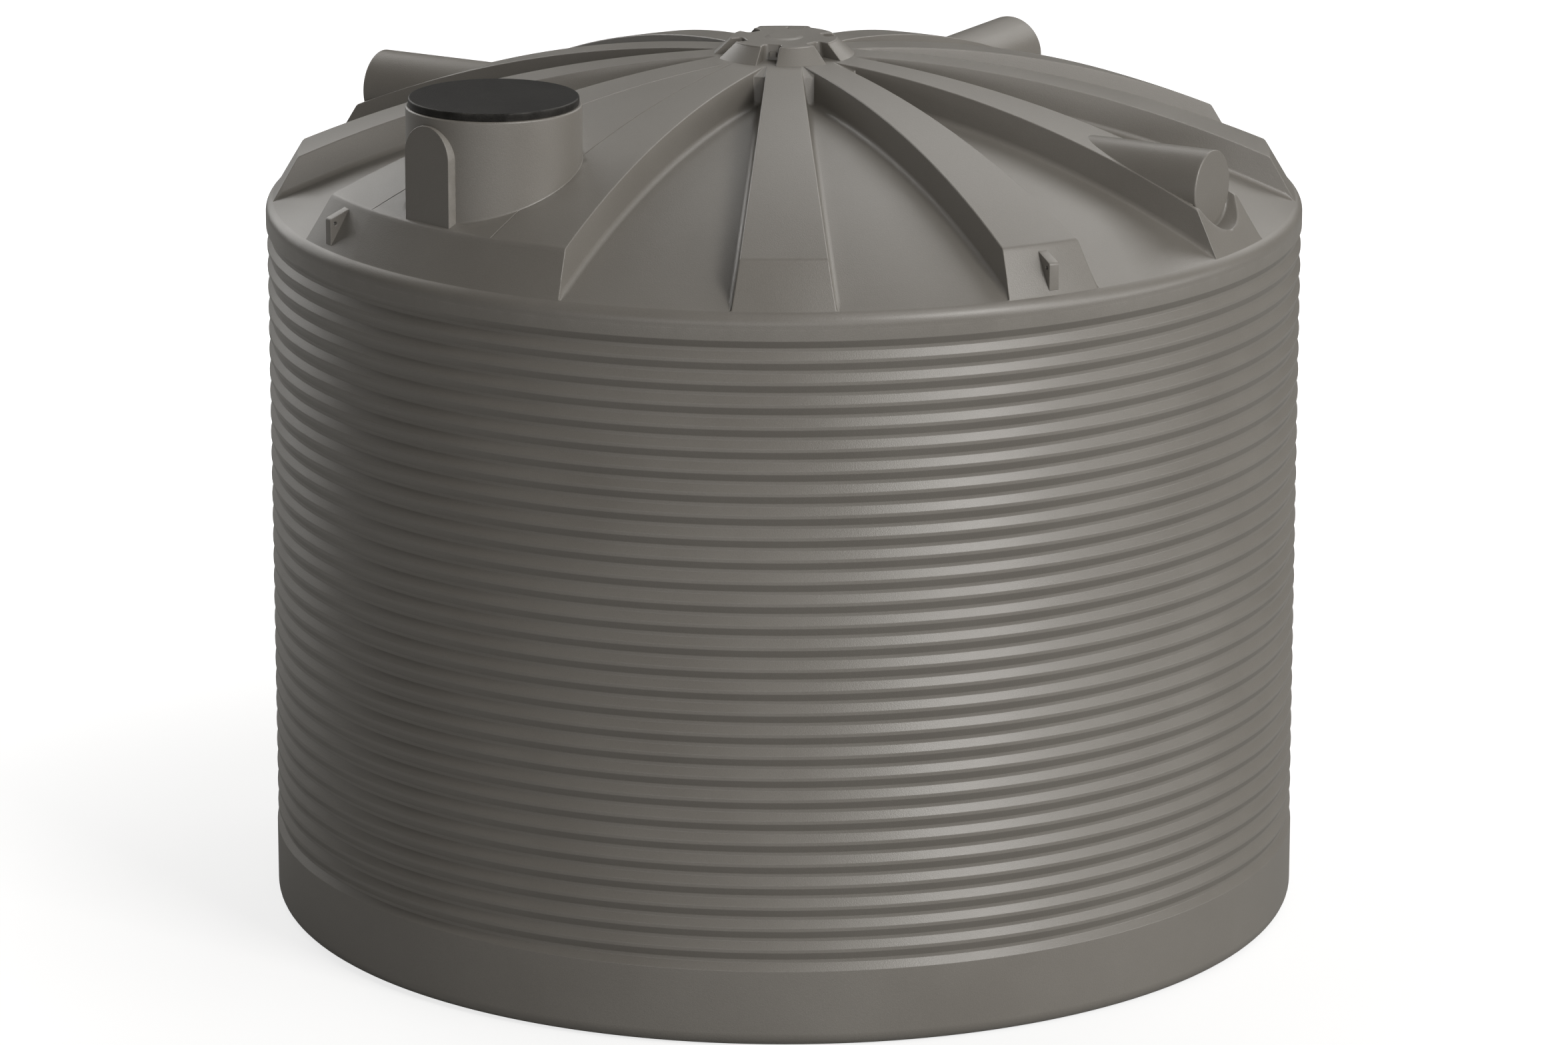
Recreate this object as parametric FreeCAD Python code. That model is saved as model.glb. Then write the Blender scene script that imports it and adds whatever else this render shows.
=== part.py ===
"""Round moulded water tank: corrugated wall, ribbed dome roof and a manhole with a lift-off lid.

Millimetres, +Z up. The origin is on the ground, on the tank's axis. The manhole, the pipe bosses and
the lifting lugs are placed by bearing: 0 is -Y, and a positive bearing turns towards +X.
"""
import FreeCAD
import Part
import os
from math import cos, hypot, radians, sin, sqrt, tan

Vector = FreeCAD.Vector
Z_AXIS = Vector(0, 0, 1)
ORIGIN = Vector(0, 0, 0)

# Shell
wall = 10.0                     # thickness of the moulded shell
tank_radius = 1750.0            # over the crests of the corrugations
band_proud = 3.0                # base band and shoulder stand out past the crests
wall_segments = 8

# Corrugated wall, from the ground up
base_edge_radius = 50.0
base_band_height = 263.0
corrugation_count = 28
corrugation_pitch = 72.8
corrugation_depth = 13.0
corrugation_flat = 11.4         # height of each crest and of each valley
shoulder_height = 49.25         # upright stretch below the shoulder's arc
shoulder_radius = 46.0

# Roof
panel_dome_radius = 4123.0
rib_dome_radius = 4184.0
rib_height = 104.0              # between the two domes, on the axis
rib_count = 12
rib_half_width_inner = 61.3     # top of a rib, where it leaves the crown
rib_half_width_outer = 141.0    # top of a rib, at its knuckle
rib_draft = 8.5                 # degrees that a rib's sides lean
crown_radius = 340.0
facet_run = 88.3                # how far a rib's end slopes outwards
facet_foot_out = 3.0            # a rib's end runs this far onto the shoulder's arc
facet_foot_lip = 1.0            # small upright step at the foot of a rib's end
rim_width = 6.0                 # strip of dome that belongs to the wall segments

# Hub on the crown
hub_base_radius = 236.0
hub_top_radius = 180.0
hub_rise = 48.0                 # above the rib dome's apex
hub_slot_count = 6
hub_slot_width = 62.0
hub_slot_depth = 46.0           # in from the edge of the hub's top
hub_bearing = -15.0             # of one slot
hub_cavity_radius = 118.0
hub_button_radius = 72.0
hub_button_rise = 4.0

# Manhole
manhole_bearing = -45.0
neck_radius = 287.0
neck_rise = 236.2               # above the rib dome, on the neck's axis
neck_opening_radius = 230.0
lid_radius = 276.0
lid_height = 26.0
lid_skin = 8.0
lid_rim_width = 18.0
lid_edge_radius = 7.0
lid_plug_clearance = 8.0
lid_plug_depth = 26.0
pad_width = 209.0
pad_drop = 28.0                 # top of the arched pad below the neck's rim
pad_reach = 297.5               # from the neck's axis to the pad's face
pad_setback = 12.5              # pad's face behind the knuckle

# Pipe bosses
boss_bearings = (60.0, 150.0, 240.0)
boss_radius = 125.0
boss_lift = 45.1                # boss axis above the knuckle
boss_setback = 22.0             # boss face behind the knuckle
scoop_clearance = 5.0           # scooped rib end around the boss

# Lifting lugs
lug_bearings = (-60.0, 30.0, 120.0, 210.0)
lug_thickness = 36.0
lug_top_drop = 18.6             # lug's inner corner below the knuckle
lug_reach = 69.5
lug_fall = 28.2                 # outer corner below the inner one
lug_corner_radius = 10.0
lug_hole_radius = 6.0
lug_hole_inset = 18.0           # hole in from the lug's outer edge
lug_hole_drop = 15.0            # hole below the lug's outer corner

# Worked out: wall and shoulder
outer_radius = tank_radius + band_proud
valley_radius = tank_radius - corrugation_depth
flank_height = corrugation_pitch / 2 - corrugation_flat
corrugation_top = base_band_height + corrugation_count * corrugation_pitch
shoulder_foot = corrugation_top + flank_height + corrugation_flat + flank_height
shoulder_centre_z = shoulder_foot + shoulder_height
shoulder_centre_r = outer_radius - shoulder_radius
floor_radius = outer_radius - base_edge_radius

# Worked out: the two domes, the lower one tangent to the shoulder's arc
panel_centre_z = shoulder_centre_z - sqrt(
    (panel_dome_radius - shoulder_radius) ** 2 - shoulder_centre_r ** 2)
panel_edge_r = shoulder_centre_r * panel_dome_radius / (panel_dome_radius - shoulder_radius)
panel_apex_z = panel_centre_z + panel_dome_radius
rib_centre_z = panel_apex_z + rib_height - rib_dome_radius
rib_apex_z = rib_centre_z + rib_dome_radius
hub_top_z = rib_apex_z + hub_rise
rim_radius = panel_edge_r - rim_width


def panel_z(r):
    """Height of the lower dome's outside at a radius."""
    return panel_centre_z + sqrt(panel_dome_radius ** 2 - r ** 2)


def rib_z(r):
    """Height of the upper dome's outside at a radius."""
    return rib_centre_z + sqrt(rib_dome_radius ** 2 - r ** 2)


# Worked out: ribs
facet_foot_r = panel_edge_r + facet_foot_out
facet_foot_z = facet_foot_lip + shoulder_centre_z + sqrt(
    shoulder_radius ** 2 - (facet_foot_r - shoulder_centre_r) ** 2)
knuckle_r = facet_foot_r - facet_run
knuckle_z = rib_z(knuckle_r)
facet_slope = facet_run / (knuckle_z - facet_foot_z)
draft_slope = tan(radians(rib_draft))
rib_slope = (rib_half_width_outer - rib_half_width_inner
             - draft_slope * (rib_z(crown_radius) - knuckle_z)) / (knuckle_r - crown_radius)
bottom_z = panel_z(panel_edge_r) - shoulder_radius   # below every roof piece
top_z = hub_top_z + neck_rise                        # above every roof piece

# Worked out: manhole and bosses
manhole_r = knuckle_r - pad_setback - pad_reach
neck_top_z = rib_z(manhole_r) + neck_rise
boss_z = knuckle_z + boss_lift
boss_face_r = knuckle_r - boss_setback


def facet_r(z):
    """Radius of a rib's sloped end at a height."""
    return knuckle_r + (knuckle_z - z) * facet_slope


def rib_half_width(x, z):
    """Half the width of a rib at a distance from the axis and a height."""
    return (rib_half_width_outer + rib_slope * (x - knuckle_r)
            + draft_slope * (knuckle_z - z))


def turned(shape, bearing):
    """A shape built along +X, turned to a bearing."""
    copy = shape.copy()
    copy.rotate(ORIGIN, Z_AXIS, bearing - 90)
    return copy


def wire_of(points):
    return Part.makePolygon([Vector(*p) for p in points] + [Vector(*points[0])])


def face_xz(profile):
    """Face from a closed list of (r, z) points, where a triple of points in place of one is an arc."""
    edges = []
    ends = [step[-1] if isinstance(step[0], tuple) else step for step in profile]
    for before, step in zip(ends[-1:] + ends[:-1], profile):
        start = Vector(before[0], 0, before[1])
        if isinstance(step[0], tuple):
            middle, end = (Vector(r, 0, z) for r, z in step)
            edges.append(Part.Arc(start, middle, end).toShape())
        else:
            end = Vector(step[0], 0, step[1])
            if (end - start).Length > 1e-6:
                edges.append(Part.LineSegment(start, end).toShape())
    return Part.Face(Part.Wire(edges))


def revolved(profile, sweep=360.0):
    return face_xz(profile).revolve(ORIGIN, Z_AXIS, sweep)


def arc_about(centre_r, centre_z, radius, from_deg, to_deg):
    """Middle and end of an arc in a profile, by the angles above the outward direction."""
    middle = (from_deg + to_deg) / 2
    return tuple((centre_r + radius * cos(radians(a)), centre_z + radius * sin(radians(a)))
                 for a in (middle, to_deg))


def ball(radius, centre_z):
    return Part.makeSphere(radius, Vector(0, 0, centre_z))


def hexahedron(low, high):
    """Solid between a lower and an upper ring of four corners each."""
    sides = [[low[i], low[(i + 1) % 4], high[(i + 1) % 4], high[i]] for i in range(4)]
    faces = [Part.Face(wire_of(ring)) for ring in [low, high] + sides]
    return Part.Solid(Part.Shell(faces))


def corrugation_outline(inset):
    """Outside of the corrugated wall from the base band up to the shoulder, moved in by an inset."""
    crest = tank_radius - inset
    valley = valley_radius - inset
    band = outer_radius - inset
    points = [(band, base_band_height)]
    for i in range(corrugation_count + 1):
        z = base_band_height + i * corrugation_pitch
        valley_foot = z + flank_height
        valley_head = valley_foot + corrugation_flat
        points += [(valley, valley_foot), (valley, valley_head)]
        crest_foot = valley_head + flank_height
        if i < corrugation_count:
            points += [(crest, crest_foot), (crest, crest_foot + corrugation_flat)]
    return points + [(band, shoulder_foot), (band, shoulder_centre_z)]


def shell_side(inset):
    """One side of the wall's section, from the floor's edge up to the rim of the roof."""
    dome = panel_dome_radius - inset
    edge = base_edge_radius - inset
    shoulder = shoulder_radius - inset
    lean = hypot(shoulder_centre_r, shoulder_centre_z - panel_centre_z)
    dome_edge = (shoulder_centre_r * dome / lean,
                 panel_centre_z + (shoulder_centre_z - panel_centre_z) * dome / lean)
    half_way = Vector(dome_edge[0] - shoulder_centre_r + shoulder, 0, dome_edge[1] - shoulder_centre_z)
    half_way = half_way.normalize() * shoulder
    rim_middle = (dome_edge[0] + rim_radius) / 2
    side = [(floor_radius, inset), arc_about(floor_radius, base_edge_radius, edge, -90, 0)]
    side += corrugation_outline(inset)
    side += [((shoulder_centre_r + half_way.x, shoulder_centre_z + half_way.z), dome_edge)]
    side += [((rim_middle, panel_centre_z + sqrt(dome ** 2 - rim_middle ** 2)),
              (rim_radius, panel_centre_z + sqrt(dome ** 2 - rim_radius ** 2)))]
    return side


def reversed_side(side):
    """The same side walked the other way, arcs included."""
    ends = [step[-1] if isinstance(step[0], tuple) else step for step in side]
    back = [ends[-1]]
    for i in range(len(side) - 1, 0, -1):
        step = side[i]
        back.append((step[0], ends[i - 1]) if isinstance(step[0], tuple) else ends[i - 1])
    return back


def make_wall_segment():
    """One sector of the wall with its base edge, shoulder and the roof's rim, from bearing 90 on."""
    profile = shell_side(0.0) + reversed_side(shell_side(wall))
    return revolved(profile, 360.0 / wall_segments)


def make_floor():
    return Part.makeCylinder(floor_radius, wall)


def bay_end(inset):
    """All that lies within the sloped ends of the ribs. An inset moves them in."""
    end_inset = inset * hypot(1, facet_slope)
    foot = facet_foot_r - end_inset
    return revolved([(0, bottom_z), (foot, bottom_z), (foot, facet_foot_z),
                     (facet_r(top_z) - end_inset, top_z), (0, top_z)])


def rib_prism(inset):
    """A rib along +X, filled and with no top, from the axis to its sloped end. An inset shrinks it."""
    side_inset = inset / cos(radians(rib_draft))
    rings = []
    for z in (bottom_z, top_z):
        near, far = (rib_half_width(x, z) - side_inset for x in (0, outer_radius))
        rings.append([(0, -near, z), (outer_radius, -far, z), (outer_radius, far, z), (0, near, z)])
    return hexahedron(*rings).common(bay_end(inset))


def platform_prism(inset):
    """The wide raised bay around the manhole along +X: two ribs and all that lies between them."""
    side_inset = inset / cos(radians(rib_draft))
    reach = 2 * outer_radius
    half_bay = 180.0 / rib_count
    halves = []
    for side in (-1, 1):
        rings = []
        for z in (bottom_z, top_z):
            near, far = (side * (rib_half_width(x, z) - side_inset) for x in (0, reach))
            rings.append([(0, -side * reach, z), (reach, -side * reach, z), (reach, far, z), (0, near, z)])
        half = hexahedron(*rings)
        half.rotate(ORIGIN, Z_AXIS, side * half_bay)
        halves.append(half)
    return halves[0].common(halves[1]).common(bay_end(inset))


def raised_bay(prism, inset):
    """A rib or the platform, filled, under the upper dome."""
    return prism.common(ball(rib_dome_radius - inset, rib_centre_z))


def bay_shell(outer, cavity):
    """Hollow channel that stops at the crown and at the inside of the lower dome."""
    shell = outer.cut(cavity)
    shell = shell.cut(Part.makeCylinder(crown_radius, top_z))
    return shell.cut(ball(panel_dome_radius - wall, panel_centre_z))


def along_x(radius, x_from, x_to, z):
    return Part.makeCylinder(radius, x_to - x_from, Vector(x_from, 0, z), Vector(1, 0, 0))


def filled_boss():
    """A pipe boss without its bore: the part of a pipe above the rib's skin, and its round end."""
    pipe = along_x(boss_radius, crown_radius, boss_face_r, boss_z)
    above = pipe.cut(ball(rib_dome_radius - wall, rib_centre_z))
    return above.fuse(along_x(boss_radius, boss_face_r - wall, boss_face_r, boss_z))


def make_boss_rib(outer, cavity):
    """A rib whose end is scooped out around a pipe boss."""
    scoop_radius = boss_radius + scoop_clearance
    scooped = outer.cut(along_x(scoop_radius, boss_face_r, outer_radius, boss_z))
    hollow = cavity.cut(along_x(scoop_radius + wall, boss_face_r - wall, outer_radius, boss_z))
    return bay_shell(scooped, hollow).cut(filled_boss())


def make_pipe_boss():
    """Closed pipe stub that comes out of a rib, open to the rib's inside."""
    return filled_boss().cut(along_x(boss_radius - wall, 0, boss_face_r - wall, boss_z))


def make_roof_panel(ribs):
    """Sunken bay of the lower dome between two ribs, from bearing 90 on."""
    def arc(radius, r_from, r_to):
        points = [(r, panel_centre_z + sqrt(radius ** 2 - r ** 2)) for r in (r_from, (r_from + r_to) / 2, r_to)]
        return points[0], tuple(points[1:])
    outside = arc(panel_dome_radius, crown_radius, rim_radius)
    inside = arc(panel_dome_radius - wall, rim_radius, crown_radius)
    panel = revolved([*outside, *inside], 360.0 / rib_count)
    for rib in ribs:
        panel = panel.cut(rib)
    return panel


def make_crown(rib_cavities):
    """Disc at the middle of the roof, with a skirt that ends each sunken bay."""
    outer = Part.makeCylinder(crown_radius, top_z).common(ball(rib_dome_radius, rib_centre_z))
    inner = Part.makeCylinder(crown_radius - wall, top_z).common(ball(rib_dome_radius - wall, rib_centre_z))
    crown = outer.cut(inner).cut(ball(panel_dome_radius - wall, panel_centre_z))
    for cavity in rib_cavities:
        crown = crown.cut(cavity)
    return crown.cut(Part.makeCylinder(hub_cavity_radius, top_z))


def make_hub():
    """Slotted cap on the crown, hollow underneath."""
    foot_z = rib_z(hub_base_radius)
    taper = (hub_base_radius - hub_top_radius) / (hub_top_z - foot_z)
    below_z = foot_z - rib_height
    hub = Part.makeCone(hub_base_radius + taper * (foot_z - below_z), hub_top_radius,
                        hub_top_z - below_z, Vector(0, 0, below_z))
    hub = hub.cut(Part.makeCylinder(hub_cavity_radius, hub_top_z - wall))
    half_slot = hub_slot_width / 2
    slot_end = hub_top_radius - hub_slot_depth + half_slot
    slot = Part.makeBox(hub_base_radius, hub_slot_width, hub_top_z, Vector(slot_end, -half_slot, 0))
    slot = slot.fuse(Part.makeCylinder(half_slot, hub_top_z, Vector(slot_end, 0, 0)))
    for i in range(hub_slot_count):
        hub = hub.cut(turned(slot, hub_bearing + i * 360.0 / hub_slot_count))
    hub = hub.fuse(Part.makeCylinder(hub_button_radius, hub_button_rise + wall, Vector(0, 0, hub_top_z - wall)))
    return hub.cut(ball(rib_dome_radius, rib_centre_z)).removeSplitter()


def make_neck():
    """Manhole collar with an inward lip that the lid rests on."""
    neck = Part.makeCylinder(neck_radius, neck_top_z, Vector(manhole_r, 0, 0))
    neck = neck.cut(Part.makeCylinder(neck_radius - wall, neck_top_z - wall, Vector(manhole_r, 0, 0)))
    neck = neck.cut(Part.makeCylinder(neck_opening_radius, neck_top_z, Vector(manhole_r, 0, 0)))
    return neck.cut(ball(rib_dome_radius, rib_centre_z))


def make_fitting_pad():
    """Flat arched face on the outer side of the neck, for a pipe fitting."""
    face_r = manhole_r + pad_reach
    half = pad_width / 2
    spring_z = neck_top_z - pad_drop - half
    block = Part.makeBox(pad_reach, pad_width, spring_z, Vector(manhole_r, -half, 0))
    block = block.fuse(along_x(half, manhole_r, face_r, spring_z))
    block = block.cut(Part.makeCylinder(neck_radius, neck_top_z, Vector(manhole_r, 0, 0)))
    return block.cut(ball(rib_dome_radius, rib_centre_z))


def make_lid():
    """Hollow lid that sits on the neck's lip, with a ring that centres it in the opening."""
    top = neck_top_z + lid_height
    under = top - lid_skin
    plug = neck_opening_radius - lid_plug_clearance
    plug_foot = neck_top_z - lid_plug_depth
    rim = lid_radius - lid_rim_width
    edge = lid_radius - lid_edge_radius
    profile = [
        (0, top), (edge, top), arc_about(edge, top - lid_edge_radius, lid_edge_radius, 90, 0),
        (lid_radius, neck_top_z), (rim, neck_top_z), (rim, under), (plug, under),
        (plug, plug_foot), (plug - lid_skin, plug_foot), (plug - lid_skin, under), (0, under)]
    lid = revolved(profile)
    lid.translate(Vector(manhole_r, 0, 0))
    return lid


def make_lifting_lug(bay):
    """Drilled gusset on the sloped end of a rib."""
    inner_z = knuckle_z - lug_top_drop
    outer_r = facet_r(inner_z) + lug_reach
    outer_z = inner_z - lug_fall
    foot_z = knuckle_z - (outer_r - knuckle_r) / facet_slope
    top_slope = lug_fall / lug_reach
    half = lug_thickness / 2
    outline = [(knuckle_r - facet_run, outer_z + top_slope * (outer_r - knuckle_r + facet_run)),
               (outer_r, outer_z), (outer_r, foot_z), (knuckle_r - facet_run, foot_z)]
    plate = Part.Face(wire_of([(r, -half, z) for r, z in outline])).extrude(Vector(0, lug_thickness, 0))
    corner = [e for e in plate.Edges
              if all(abs(v.X - outer_r) < 1e-6 and abs(v.Z - outer_z) < 1e-6 for v in e.Vertexes)]
    plate = plate.makeFillet(lug_corner_radius, corner)
    hole = Part.makeCylinder(lug_hole_radius, lug_thickness,
                             Vector(outer_r - lug_hole_inset, -half, outer_z - lug_hole_drop), Vector(0, 1, 0))
    return plate.cut(hole).cut(bay)


def export(name, shape):
    """One file for each named piece, which has to be valid."""
    if not shape.isValid() or not shape.Solids:
        raise ValueError(f"{name} is not a valid solid")
    piece = shape.Solids[0] if len(shape.Solids) == 1 else Part.makeCompound(shape.Solids)
    piece.exportStep(os.path.join("parts", f"{name}.step"))
    print(f"{name}: {len(shape.Solids)} solid, {shape.Volume / 1e6:.2f} litres")
    return shape.Volume


def main():
    os.makedirs("parts", exist_ok=True)
    bay = 360.0 / rib_count
    rib_bearings = [i * bay for i in range(rib_count)]
    wide_bearings = [(manhole_bearing + side * bay / 2) % 360 for side in (-1, 1)]
    plain_bearings = [b for b in rib_bearings if b not in wide_bearings]

    rib_outer = raised_bay(rib_prism(0.0), 0.0)
    rib_cavity = raised_bay(rib_prism(wall), wall)
    wide_outer = raised_bay(platform_prism(0.0), 0.0)
    wide_cavity = raised_bay(platform_prism(wall), wall)
    plain_rib = bay_shell(rib_outer, rib_cavity)
    boss_rib = make_boss_rib(rib_outer, rib_cavity)
    pipe_boss = make_pipe_boss()

    outers = [turned(rib_outer, b) for b in plain_bearings] + [turned(wide_outer, manhole_bearing)]
    cavities = [turned(rib_cavity, b) for b in plain_bearings] + [turned(wide_cavity, manhole_bearing)]

    pieces = {"floor": make_floor()}
    segment = make_wall_segment()
    for i in range(wall_segments):
        piece = turned(segment, 90 + i * 360.0 / wall_segments)
        for outer in outers:
            piece = piece.cut(outer)
        pieces[f"wall_segment_{i + 1}"] = piece

    for i, bearing in enumerate(plain_bearings, 1):
        has_boss = bearing in boss_bearings
        pieces[f"roof_rib_{i:02d}"] = turned(boss_rib if has_boss else plain_rib, bearing)

    panel = make_roof_panel([rib_outer, turned(rib_outer, 90 + bay)])
    panel_starts = [b for b in rib_bearings if abs((b + bay / 2 - manhole_bearing) % 360) > bay / 4]
    for i, bearing in enumerate(panel_starts, 1):
        pieces[f"roof_panel_{i:02d}"] = turned(panel, bearing)

    hatch = Part.makeCylinder(neck_radius - wall, top_z, Vector(manhole_r, 0, 0))
    platform = bay_shell(wide_outer, wide_cavity).cut(hatch)
    pieces["manhole_platform"] = turned(platform, manhole_bearing)
    pieces["roof_crown"] = make_crown(cavities)
    pieces["roof_hub"] = make_hub()
    pieces["manhole_neck"] = turned(make_neck(), manhole_bearing)
    pieces["fitting_pad"] = turned(make_fitting_pad(), manhole_bearing)
    pieces["manhole_lid"] = turned(make_lid(), manhole_bearing)

    for i, bearing in enumerate(boss_bearings, 1):
        pieces[f"pipe_boss_{i}"] = turned(pipe_boss, bearing)
    for i, bearing in enumerate(lug_bearings, 1):
        on_platform = bearing % 360 in wide_bearings
        carrier = turned(wide_outer, manhole_bearing - bearing + 90) if on_platform else rib_outer
        pieces[f"lifting_lug_{i}"] = turned(make_lifting_lug(carrier), bearing)

    total = sum(export(name, shape) for name, shape in pieces.items())
    print(f"{len(pieces)} pieces, {total / 1e6:.1f} litres of material")


main()
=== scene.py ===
"""Round moulded water tank: the smooth shapes, plastic finishes, light and camera.

Shapes are worked out in millimetres and turned to metres when a piece is made. A bearing is an
angle about the tank's axis: 0 faces the camera and a positive bearing turns to its right.
"""
from math import asin, cos, degrees, hypot, pi, radians, sin, sqrt, tan

import bpy
import numpy as np
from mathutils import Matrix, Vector


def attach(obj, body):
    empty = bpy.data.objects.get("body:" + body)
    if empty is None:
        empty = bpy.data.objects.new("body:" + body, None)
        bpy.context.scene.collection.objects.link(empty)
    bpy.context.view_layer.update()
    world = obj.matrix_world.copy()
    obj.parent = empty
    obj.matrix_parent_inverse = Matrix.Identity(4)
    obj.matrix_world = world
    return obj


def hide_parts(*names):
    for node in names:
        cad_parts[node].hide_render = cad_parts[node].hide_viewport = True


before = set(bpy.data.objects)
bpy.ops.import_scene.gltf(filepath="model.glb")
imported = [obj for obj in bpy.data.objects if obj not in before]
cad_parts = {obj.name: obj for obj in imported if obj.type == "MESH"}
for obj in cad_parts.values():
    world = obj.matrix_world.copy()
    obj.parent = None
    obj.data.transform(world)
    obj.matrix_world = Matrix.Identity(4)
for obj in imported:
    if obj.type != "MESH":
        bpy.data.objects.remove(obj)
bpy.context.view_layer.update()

METRES = 0.001                  # in a millimetre

# Shell and corrugated wall
WALL = 10.0                     # thickness of the moulded shell
OUTER_RADIUS = 1753.0           # of the base band and the shoulder
CREST_RADIUS = 1750.0
VALLEY_RADIUS = 1737.0
WALL_SEGMENTS = 8
BASE_EDGE_RADIUS = 50.0
BASE_EDGE_POINTS = 10
BASE_BAND_HEIGHT = 263.0
CORRUGATIONS = 28
PITCH = 72.8
FLAT = 11.4                     # height of each crest and of each valley
FLANK = PITCH / 2 - FLAT
CORNER_RADIUS = 5.0             # rounding of crests and valleys
SHOULDER_HEIGHT = 49.25         # upright stretch below the shoulder's arc
SHOULDER_RADIUS = 46.0
SHOULDER_CENTRE_R = OUTER_RADIUS - SHOULDER_RADIUS
SHOULDER_FOOT = BASE_BAND_HEIGHT + CORRUGATIONS * PITCH + FLANK + FLAT + FLANK
SHOULDER_CENTRE_Z = SHOULDER_FOOT + SHOULDER_HEIGHT
ROOF_LAP = 12.0                 # the roof's skin comes down this far below the shoulder's arc
WALL_TOP = SHOULDER_CENTRE_Z - ROOF_LAP
SEAM_RING = 1.0                 # from the seam of wall and roof to the next ring of points
WALL_STEPS = 180

# Roof
PANEL_DOME = 4123.0             # radius of the sunken bays' dome
PANEL_CENTRE_Z = SHOULDER_CENTRE_Z - sqrt(
    (PANEL_DOME - SHOULDER_RADIUS) ** 2 - SHOULDER_CENTRE_R ** 2)
PANEL_EDGE_R = SHOULDER_CENTRE_R * PANEL_DOME / (PANEL_DOME - SHOULDER_RADIUS)
RIB_DOME = 4184.0               # radius of the ribs' dome
RIB_HEIGHT = 104.0              # between the two domes, on the axis
RIB_CENTRE_Z = PANEL_CENTRE_Z + PANEL_DOME + RIB_HEIGHT - RIB_DOME
RIBS = 12
BAY = 360.0 / RIBS
FOOT_OUT = 3.0                  # a rib's end runs this far onto the shoulder's arc
FACET_RUN = 88.3                # how far a rib's end slopes outwards
FOOT_R = PANEL_EDGE_R + FOOT_OUT
KNUCKLE_R = FOOT_R - FACET_RUN
RIB_HALF_INNER = 61.3           # half a rib's top, where it leaves the crown
RIB_HALF_OUTER = 141.0          # half a rib's top, at its knuckle
CROWN_RADIUS = 340.0
DRAFT = tan(radians(8.5))       # lean of a rib's sides
TOP_EDGE_ROUND = 4.5
ROOT_ROUND = 22.0
ROOF_START_R = 226.0            # innermost ring of the roof, under the hub

# Points of the roof's mesh, across it
SIDE_ARC_STEPS = 4              # in each of the two roundings of a rib's side
SIDE_POINTS = 2 * SIDE_ARC_STEPS + 3
TOP_POINTS = 5                  # across a plain rib's top
FLOOR_POINTS = 5                # across half a bay's floor
SCOOP_POINTS = 14               # across half of a scooped rib's top
FULL_BAY = 0.97                 # share of half a bay that ribs and roundings may take

# Manhole
MANHOLE_BEARING = -45.0
PAD_REACH = 297.5               # from the neck's axis to the pad's face
PAD_SETBACK = 12.5              # pad's face behind the knuckle
MANHOLE_R = KNUCKLE_R - PAD_SETBACK - PAD_REACH
NECK_RADIUS = 287.0
NECK_OPENING = 230.0
NECK_RISE = 236.2               # above the ribs' dome, on the neck's axis
LID_RADIUS = 277.5
LID_HEIGHT = 26.0
PAD_WIDTH = 209.0
PAD_DROP = 28.0                 # top of the arched pad below the neck's rim

# Hub on the crown
HUB_BASE = 236.0
HUB_TOP = 180.0
HUB_RISE = 48.0                 # above the ribs' dome
HUB_SLOTS = 6
HUB_BAY = 360.0 / HUB_SLOTS
HUB_BEARING = -15.0             # of one slot

# Pipe bosses
BOSS_BEARINGS = (60.0, 150.0, 240.0)
BOSS_RADIUS = 125.0
BOSS_LIFT = 45.1                # boss axis above the knuckle
BOSS_SETBACK = 22.0             # boss face behind the knuckle
BOSS_FACE_R = KNUCKLE_R - BOSS_SETBACK
BOSS_WIDEST = 120.0             # degrees of a boss's round side, from its top
BOSS_ROUND_POINTS = 49
BOSS_BOTTOM_POINTS = 25
SCOOP_CLEARANCE = 5.0           # scooped rib end around the boss
SCOOP_RADIUS = BOSS_RADIUS + SCOOP_CLEARANCE
# Rings of points past the boss's face, closer where the scoop is steep
SCOOP_RINGS = (-5.5, -3.5, 12, 29, 41, 49, 55, 59, 62.5, 65, 67.5, 69.5, 72, 77)

# Lifting lugs
LUG_BEARINGS = (-60.0, 30.0, 120.0, 210.0)
LUG_THICKNESS = 36.0
LUG_DROP = 18.6                 # lug's inner corner below the knuckle
LUG_REACH = 69.5
LUG_FALL = 28.2                 # outer corner below the inner one
LUG_CORNER_RADIUS = 10.0
LUG_HOLE_RADIUS = 6.0
LUG_HOLE_INSET = 18.0           # hole in from the lug's outer edge
LUG_HOLE_DROP = 15.0            # hole below the lug's outer corner
LUG_SINK = 8.0                  # lug's root behind the face of the rib's end

# Lamps: bearing, elevation, distance, width, height and watts, in degrees and metres
FAR = 60.0
LAMPS = {
    "key_light": (42, 35, FAR, 18.0, 18.0, 16900),
    "top_light": (60, 66, FAR, 26.0, 26.0, 4600),
    "side_light": (62, 16, FAR, 28.0, 20.0, 6100),
    "low_side_light": (62, 5, FAR, 28.0, 11.0, 1650),
    "front_light": (8, 5, FAR, 32.0, 11.0, 4350),
    "right_light": (88, 6, FAR, 24.0, 12.0, 4250),
    "left_front_light": (-25, 6, FAR, 28.0, 12.0, 2950),
    "right_back_light": (135, 30, 13.0, 6.0, 5.0, 190),
    "back_light": (158, 47, 14.0, 9.0, 6.0, 395),
    "left_back_light": (-135, 24, 13.0, 7.0, 9.0, 460),
    "left_roof_light": (-150, 34, 14.0, 6.0, 5.0, 185),
}
LAMP_COLOUR = (1.0, 0.985, 0.96)
LAMP_AIM = (0, 0, 1.6)
SKY_COLOUR = (1.0, 0.99, 0.97, 1)
SKY_STRENGTH = 0.05

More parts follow.
